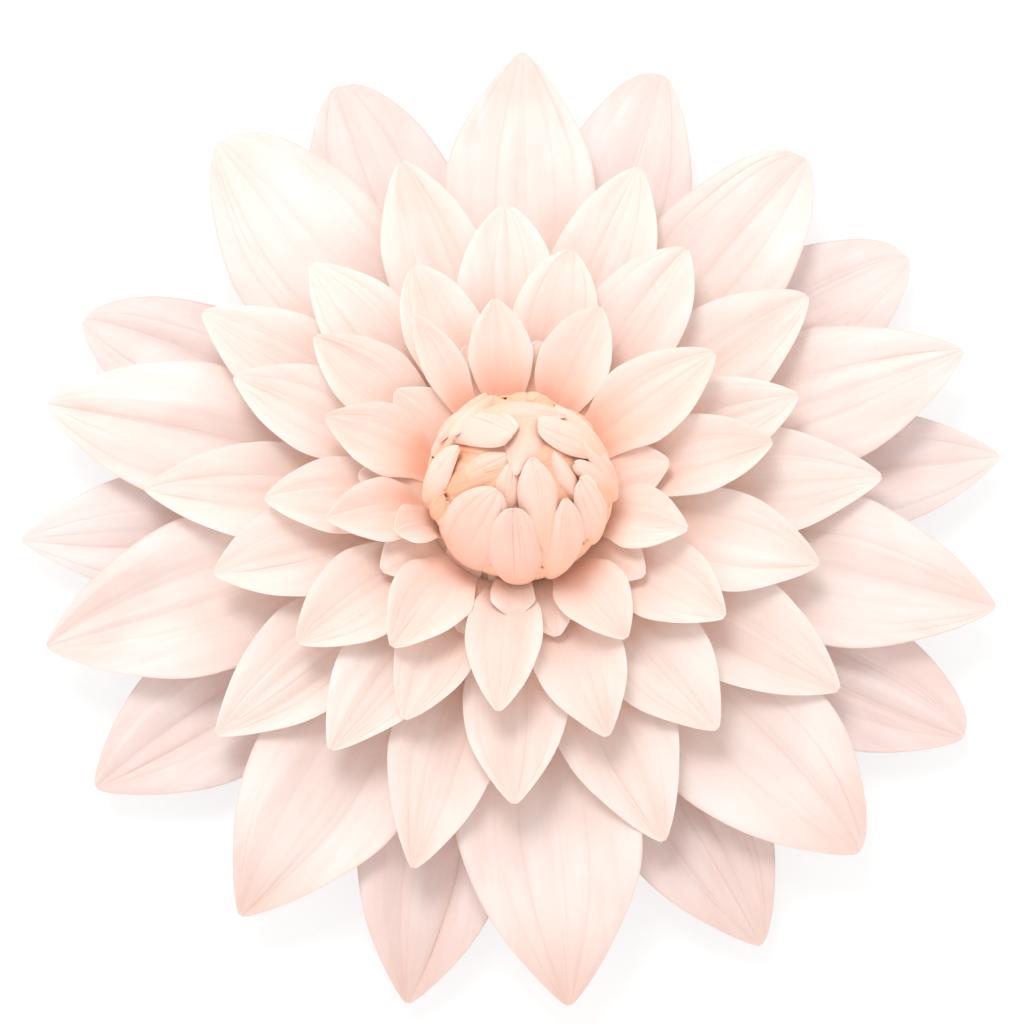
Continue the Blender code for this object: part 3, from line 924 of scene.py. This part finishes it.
def paper_material(name, colours, rim=SOFT_RIM_HIGHLIGHT, pale_root_shade=PALE_ROOT_SHADE):
    """Creped paper: painted peach shade at its root and in its creases, a painted rim, fibres along the
    petal.
    """
    nodes = MaterialNodes(name)
    shade = nodes.attribute("shade")
    parts = nodes.add("ShaderNodeSeparateColor")
    nodes.join(shade.outputs["Color"], parts.inputs["Color"])
    share, across, crease = parts.outputs
    flat = nodes.attribute("flat").outputs["Vector"]
    fibre = nodes.noise(flat, *FIBRE)
    streak = nodes.noise(flat, *STREAK)
    cloud = nodes.noise(flat, *CLOUD)
    crinkle = nodes.noise(flat, *CRINKLE)

    # Painted warm shade at the root, less of it on petals with more painted tip shade
    root_shaded = nodes.math("SUBTRACT", 1.0, nodes.math("MULTIPLY", shade.outputs["Alpha"], pale_root_shade))
    root_shaded = nodes.math("MULTIPLY", nodes.ramp(share, *ROOT_SHADE_RAMP), root_shaded)
    colour = nodes.mix(root_shaded, linear(colours.body), linear(colours.root))
    # Painted shade towards the tip, as much as the sheet's tip share
    tipped = nodes.math("MULTIPLY", nodes.ramp(share, *TIP_TINT), shade.outputs["Alpha"])
    colour = nodes.mix(tipped, colour, linear(colours.tip))
    colour = nodes.mix(nodes.ramp(cloud, *CLOUD_TINT), colour, linear(colours.crease))
    # Painted shade in the creases
    crease_shaded = nodes.math("MULTIPLY", crease, CREASE_SHADE, clamp=True)
    colour = nodes.mix(crease_shaded, colour, linear(colours.crease))
    # Painted shade line along a sharp rim, painted highlight along a soft one
    colour = nodes.mix(nodes.ramp(across, *rim), colour, linear(colours.rim))
    streaked = nodes.ramp(streak, *MIDDLE, *STREAK_LEVELS)
    grained = nodes.ramp(fibre, *MIDDLE, *FIBRE_LEVELS)
    level = nodes.math("MULTIPLY", streaked, grained)
    tint = nodes.add("ShaderNodeCombineColor")
    nodes.join(nodes.math("POWER", level, RED_POWER), tint.inputs["Red"])
    nodes.join(level, tint.inputs["Green"])
    nodes.join(nodes.math("POWER", level, BLUE_POWER), tint.inputs["Blue"])
    nodes.feed("Base Color", nodes.mix(1.0, colour, tint.outputs["Color"], "MULTIPLY"))
    nodes.feed("Roughness", nodes.ramp(crinkle, *MIDDLE, *PAPER_ROUGHNESS))

    normal = nodes.bump(crinkle, *CRINKLE_BUMP)
    normal = nodes.bump(streak, *STREAK_BUMP, normal)
    nodes.feed("Normal", nodes.bump(fibre, *FIBRE_BUMP, normal))
    nodes.set("Specular IOR Level", PAPER_SPECULAR)
    nodes.set("Sheen Weight", PAPER_SHEEN)
    nodes.set("Sheen Roughness", SHEEN_ROUGHNESS)
    return nodes.material


def foam_material():
    """The foam core, brushed with orange paint, with the fine pits of cut foam."""
    nodes = MaterialNodes("painted_foam")
    place = nodes.add("ShaderNodeTexCoord").outputs["Object"]
    pits = nodes.noise(place, *PITS)
    brushed = nodes.noise(place, *BRUSHING)
    darker = tuple(FOAM_SHADE * part for part in FOAM_COLOUR)
    nodes.feed("Base Color", nodes.mix(brushed, linear(FOAM_COLOUR), linear(darker)))
    nodes.feed("Roughness", nodes.ramp(pits, *MIDDLE, *FOAM_ROUGHNESS))
    nodes.feed("Normal", nodes.bump(pits, *PITS_BUMP))
    return nodes.material


def card_material():
    """Grey-brown board, with specks and faint rolling lines."""
    nodes = MaterialNodes("board")
    place = nodes.add("ShaderNodeTexCoord").outputs["Object"]
    specks = nodes.noise(place, *SPECKS)
    rolled = nodes.noise(place, *ROLLED)
    dark = tuple(CARD_DARK * part for part in CARD_COLOUR)
    pale = tuple(CARD_PALE * part for part in CARD_COLOUR)
    colour = nodes.mix(nodes.ramp(specks, *SPECK_TINT), linear(CARD_COLOUR), linear(dark))
    nodes.feed("Base Color", nodes.mix(nodes.ramp(rolled, *ROLLED_TINT), colour, linear(pale)))
    nodes.feed("Roughness", nodes.ramp(specks, *MIDDLE, *CARD_ROUGHNESS))
    nodes.feed("Normal", nodes.bump(specks, *SPECKS_BUMP))
    return nodes.material


# Pieces of the flower

def tip_shade_share(bearing):
    """How much painted shade a petal's tip takes: most on petals that point to -Y, and some on those that
    point to +Y.
    """
    return TIP_FLOOR + LOW_TIP * low_side(bearing) + HIGH_TIP * low_side(-bearing) ** 2


def add_petals():
    for index, tier in enumerate(TIERS):
        outer = index < OUTER_TIERS
        # The outer tiers get a painted shade line at the rim, the inner ones a painted highlight
        rim = SHARP_RIM_SHADE if outer else SOFT_RIM_HIGHLIGHT
        pale_root_shade = INNER_PALE_ROOT_SHADE if index == len(TIERS) - 1 else PALE_ROOT_SHADE
        finish = paper_material(f"paper_{index + 1}", TIER_COLOURS[index], rim, pale_root_shade)
        slot_name = "outer_paper" if outer else "inner_paper"
        for number, petal in enumerate(tier.petals, 1):
            seed = TIER_SEED * (index + 1) + number
            folds = Folds(tier, FOLDS.get((index + 1, number)), petal.bearing, seed)
            rows, marks = petal_sheet(petal, folds, seat_height(index), SEAT_GAP)
            tone = random.Random(seed - TIER_SEED).random()
            name = f"petal_{index + 1}_{number:02d}"
            mesh = paper_mesh(name, rows, marks, tone, tip_shade_share(petal.bearing))
            add_piece(name, mesh, finish, slot_name, f"tier_{index + 1}_petal_{number:02d}")


def add_small_petals(finish):
    """Petals with their roots sunk in the core: the innermost, fillers between the last tier's, two more."""
    height = seat_height(len(TIERS) - 1)
    bearings = sorted([petal.bearing for petal in TIERS[-1].petals] + [INNER_PETAL.bearing])
    between = [(a + b) / 2 for a, b in zip(bearings, bearings[1:] + [bearings[0] + 360])]
    small = [("inner_petal", TIERS[-1], INNER_PETAL, 0.0)]
    for number, bearing in enumerate(between, 1):
        petal = Petal(bearing, 0, FILLER_HALF_WIDTH)
        small.append((f"filler_petal_{number:02d}", FILLER, petal, -FILLER_DROP))
    small.append(("torn_lip", LIP, LIP_PETAL, LIP_RISE))
    small.append(("curled_petal", CURLED, CURLED_PETAL, CURLED_RISE))
    for number, (name, tier, petal, rise) in enumerate(small):
        folds = Folds(tier, None, petal.bearing, SMALL_SEED + number)
        rows, marks = petal_sheet(petal, folds, height + rise, -SUNK_ROOT)
        mesh = paper_mesh(name, rows, marks, number / len(small))
        add_piece(name, mesh, finish, "bud_paper", "bud")


def foam_mesh():
    """The turned cone, and the ball that it widens into at its top."""
    profile = [(0.0, CORE_FOOT), (CORE_FOOT_RADIUS, CORE_FOOT), (CORE_NECK_RADIUS, CORE_NECK)]
    ball_low = math.pi - math.asin(BALL_JOIN)
    for i in range(BALL_RINGS):
        turn = ball_low * (1.0 - i / BALL_RINGS)
        profile.append((BALL_RADIUS * math.sin(turn), BUD_CENTRE.z + BALL_RADIUS * math.cos(turn)))
    points = [(0.0, 0.0, CORE_FOOT), (BUD_CENTRE.x, BUD_CENTRE.y, BUD_CENTRE.z + BALL_RADIUS)]
    for radius, height in profile[1:]:
        shift = smooth((height - CORE_NECK) / BALL_OVER_NECK)
        for k in range(CORE_SIDES):
            turn = FULL_TURN * k / CORE_SIDES
            points.append((
                BUD_SHIFT.x * shift + radius * math.cos(turn),
                BUD_SHIFT.y * shift + radius * math.sin(turn),
                height,
            ))
    rings = len(profile) - 1
    faces = []
    for k in range(CORE_SIDES):
        following = (k + 1) % CORE_SIDES
        faces.append((0, 2 + following, 2 + k))
        for ring in range(rings - 1):
            low = 2 + ring * CORE_SIDES
            faces.append((low + k, low + following, low + CORE_SIDES + following, low + CORE_SIDES + k))
        top = 2 + (rings - 1) * CORE_SIDES
        faces.append((top + k, top + following, 1))
    mesh = bpy.data.meshes.new("bud_foam")
    mesh.from_pydata(points, [], faces)
    mesh.shade_smooth()
    mesh.set_sharp_from_angle(angle=math.radians(FOAM_SHARP))
    return mesh


def under_leaves():
    """All the leaves under the ones that show: ring by ring, then the single ones."""
    leaves = []
    for count, first, lifts in UNDER_RINGS:
        for k in range(count):
            turn = 360 / count * k
            leaves.append(first._replace(
                root_bearing=first.root_bearing + turn,
                tip_bearing=first.tip_bearing + turn,
                lift=first.lift + lifts[k % len(lifts)],
            ))
    return (*leaves, *UNDER_LEAVES)


def add_bud():
    # The bud's leaves have a painted shade line along their rims, for the grooves between them
    finish = paper_material("bud_paper", BUD_COLOURS, SHARP_RIM_SHADE)
    pink = paper_material("bud_pink_paper", PINK_COLOURS, SHARP_RIM_SHADE)
    # Orange paper that is painted warm shade, for the under leaves and the back scales
    under = paper_material("bud_under_shade_paper", UNDER_SHADE_COLOURS)
    add_piece("bud_foam", foam_mesh(), foam_material(), "bud_paper", "bud")
    sets = (
        ("bud_leaf", BUD_LEAVES, finish),
        ("bud_back_leaf", BUD_BACK_LEAVES, under),
        ("bud_under_leaf", under_leaves(), under),
    )
    for kind, leaves, paper in sets:
        for number, leaf in enumerate(leaves, 1):
            name = f"{kind}_{number:02d}"
            rows, marks = leaf_sheet(leaf, LEAF_SEED + number)
            mesh = paper_mesh(name, rows, marks, random.Random(number).random())
            add_piece(name, mesh, pink if leaf.pink else paper, "bud_paper", "bud")
    add_small_petals(paper_material("small_petal_paper", SMALL_COLOURS))


def dress_disc():
    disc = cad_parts["backing_disc"]
    finish = card_material()
    for material_slot in disc.material_slots:
        material_slot.material = finish


# Studio

CAMERA_TARGET = Vector((-1.6 * MM, 7.4 * MM, 0.0))
CAMERA_ELEVATION = 75.0
CAMERA_DISTANCE = 1.8
PIXEL = 0.615 * MM
IMAGE_SIDE = 1024
SENSOR = 36.0
FLOOR_SIZE = 12.0
FLOOR_GLOW = 0.72
FLOOR_ROUGHNESS = 0.9
FLOOR_COLOUR = (0.8, 0.8, 0.8, 1.0)
SEEN_FLOOR_COLOUR = (0.34, 0.34, 0.34, 1.0)
WORLD_COLOUR = (1.0, 0.968, 0.955, 1.0)
ZENITH_LEVEL = 0.46
HORIZON_LEVEL = 1.73
SEEN_LEVEL = 1.0
KEY_POWER = 14.5
KEY_SIZE = 0.9
KEY_PLACE = Vector((-0.4, 0.9, 1.8))


def add_camera():
    camera = bpy.data.cameras.new("camera")
    camera.sensor_width = SENSOR
    camera.lens = SENSOR * CAMERA_DISTANCE / (PIXEL * IMAGE_SIDE)
    placed = bpy.data.objects.new("camera", camera)
    bpy.context.scene.collection.objects.link(placed)
    turn = math.radians(CAMERA_ELEVATION)
    placed.location = CAMERA_TARGET + CAMERA_DISTANCE * Vector((0.0, -math.cos(turn), math.sin(turn)))
    placed.rotation_euler = (math.pi / 2 - turn, 0.0, 0.0)
    bpy.context.scene.camera = placed


def add_world():
    """Soft light from all round, stronger from the sides than from above, and white where it is seen."""
    world = bpy.data.worlds.new("studio")
    bpy.context.scene.world = world
    world.use_nodes = True
    nodes = Nodes(world.node_tree)
    background = world.node_tree.nodes["Background"]
    parts = nodes.add("ShaderNodeSeparateXYZ")
    nodes.join(nodes.add("ShaderNodeTexCoord").outputs["Generated"], parts.inputs[0])
    sky = nodes.add("ShaderNodeMapRange")
    nodes.join(parts.outputs["Z"], sky.inputs["Value"])
    sky.inputs["To Min"].default_value = HORIZON_LEVEL
    sky.inputs["To Max"].default_value = ZENITH_LEVEL
    seen = nodes.in_view()
    nodes.join(nodes.mix(seen, WORLD_COLOUR, WHITE), background.inputs["Color"])
    strength = nodes.add("ShaderNodeMix")
    nodes.join(seen, strength.inputs["Factor"])
    nodes.join(sky.outputs["Result"], strength.inputs["A"])
    strength.inputs["B"].default_value = SEEN_LEVEL
    nodes.join(strength.outputs["Result"], background.inputs["Strength"])


def add_floor():
    """A white floor that keeps a faint shadow of the flower."""
    nodes = MaterialNodes("floor")
    seen = nodes.in_view()
    nodes.set("Roughness", FLOOR_ROUGHNESS)
    nodes.set("Emission Color", WHITE)
    nodes.feed("Emission Strength", nodes.math("MULTIPLY", seen, FLOOR_GLOW))
    nodes.feed("Base Color", nodes.mix(seen, FLOOR_COLOUR, SEEN_FLOOR_COLOUR))
    half = FLOOR_SIZE / 2
    corners = [(-half, -half, 0), (half, -half, 0), (half, half, 0), (-half, half, 0)]
    mesh = bpy.data.meshes.new("floor")
    mesh.from_pydata(corners, [], [(0, 1, 2, 3)])
    mesh.materials.append(nodes.material)
    floor = bpy.data.objects.new("floor", mesh)
    bpy.context.scene.collection.objects.link(floor)


def add_key_light():
    light = bpy.data.lights.new("key", "AREA")
    light.shape = "DISK"
    light.size = KEY_SIZE
    light.energy = KEY_POWER
    placed = bpy.data.objects.new("key", light)
    placed.location = KEY_PLACE
    placed.rotation_euler = (-KEY_PLACE).to_track_quat("-Z", "Y").to_euler()
    bpy.context.scene.collection.objects.link(placed)


bpy.context.scene.view_settings.view_transform = "Standard"
add_camera()
add_world()
add_floor()
add_key_light()
add_petals()
add_bud()
dress_disc()

bpy.context.view_layer.update()
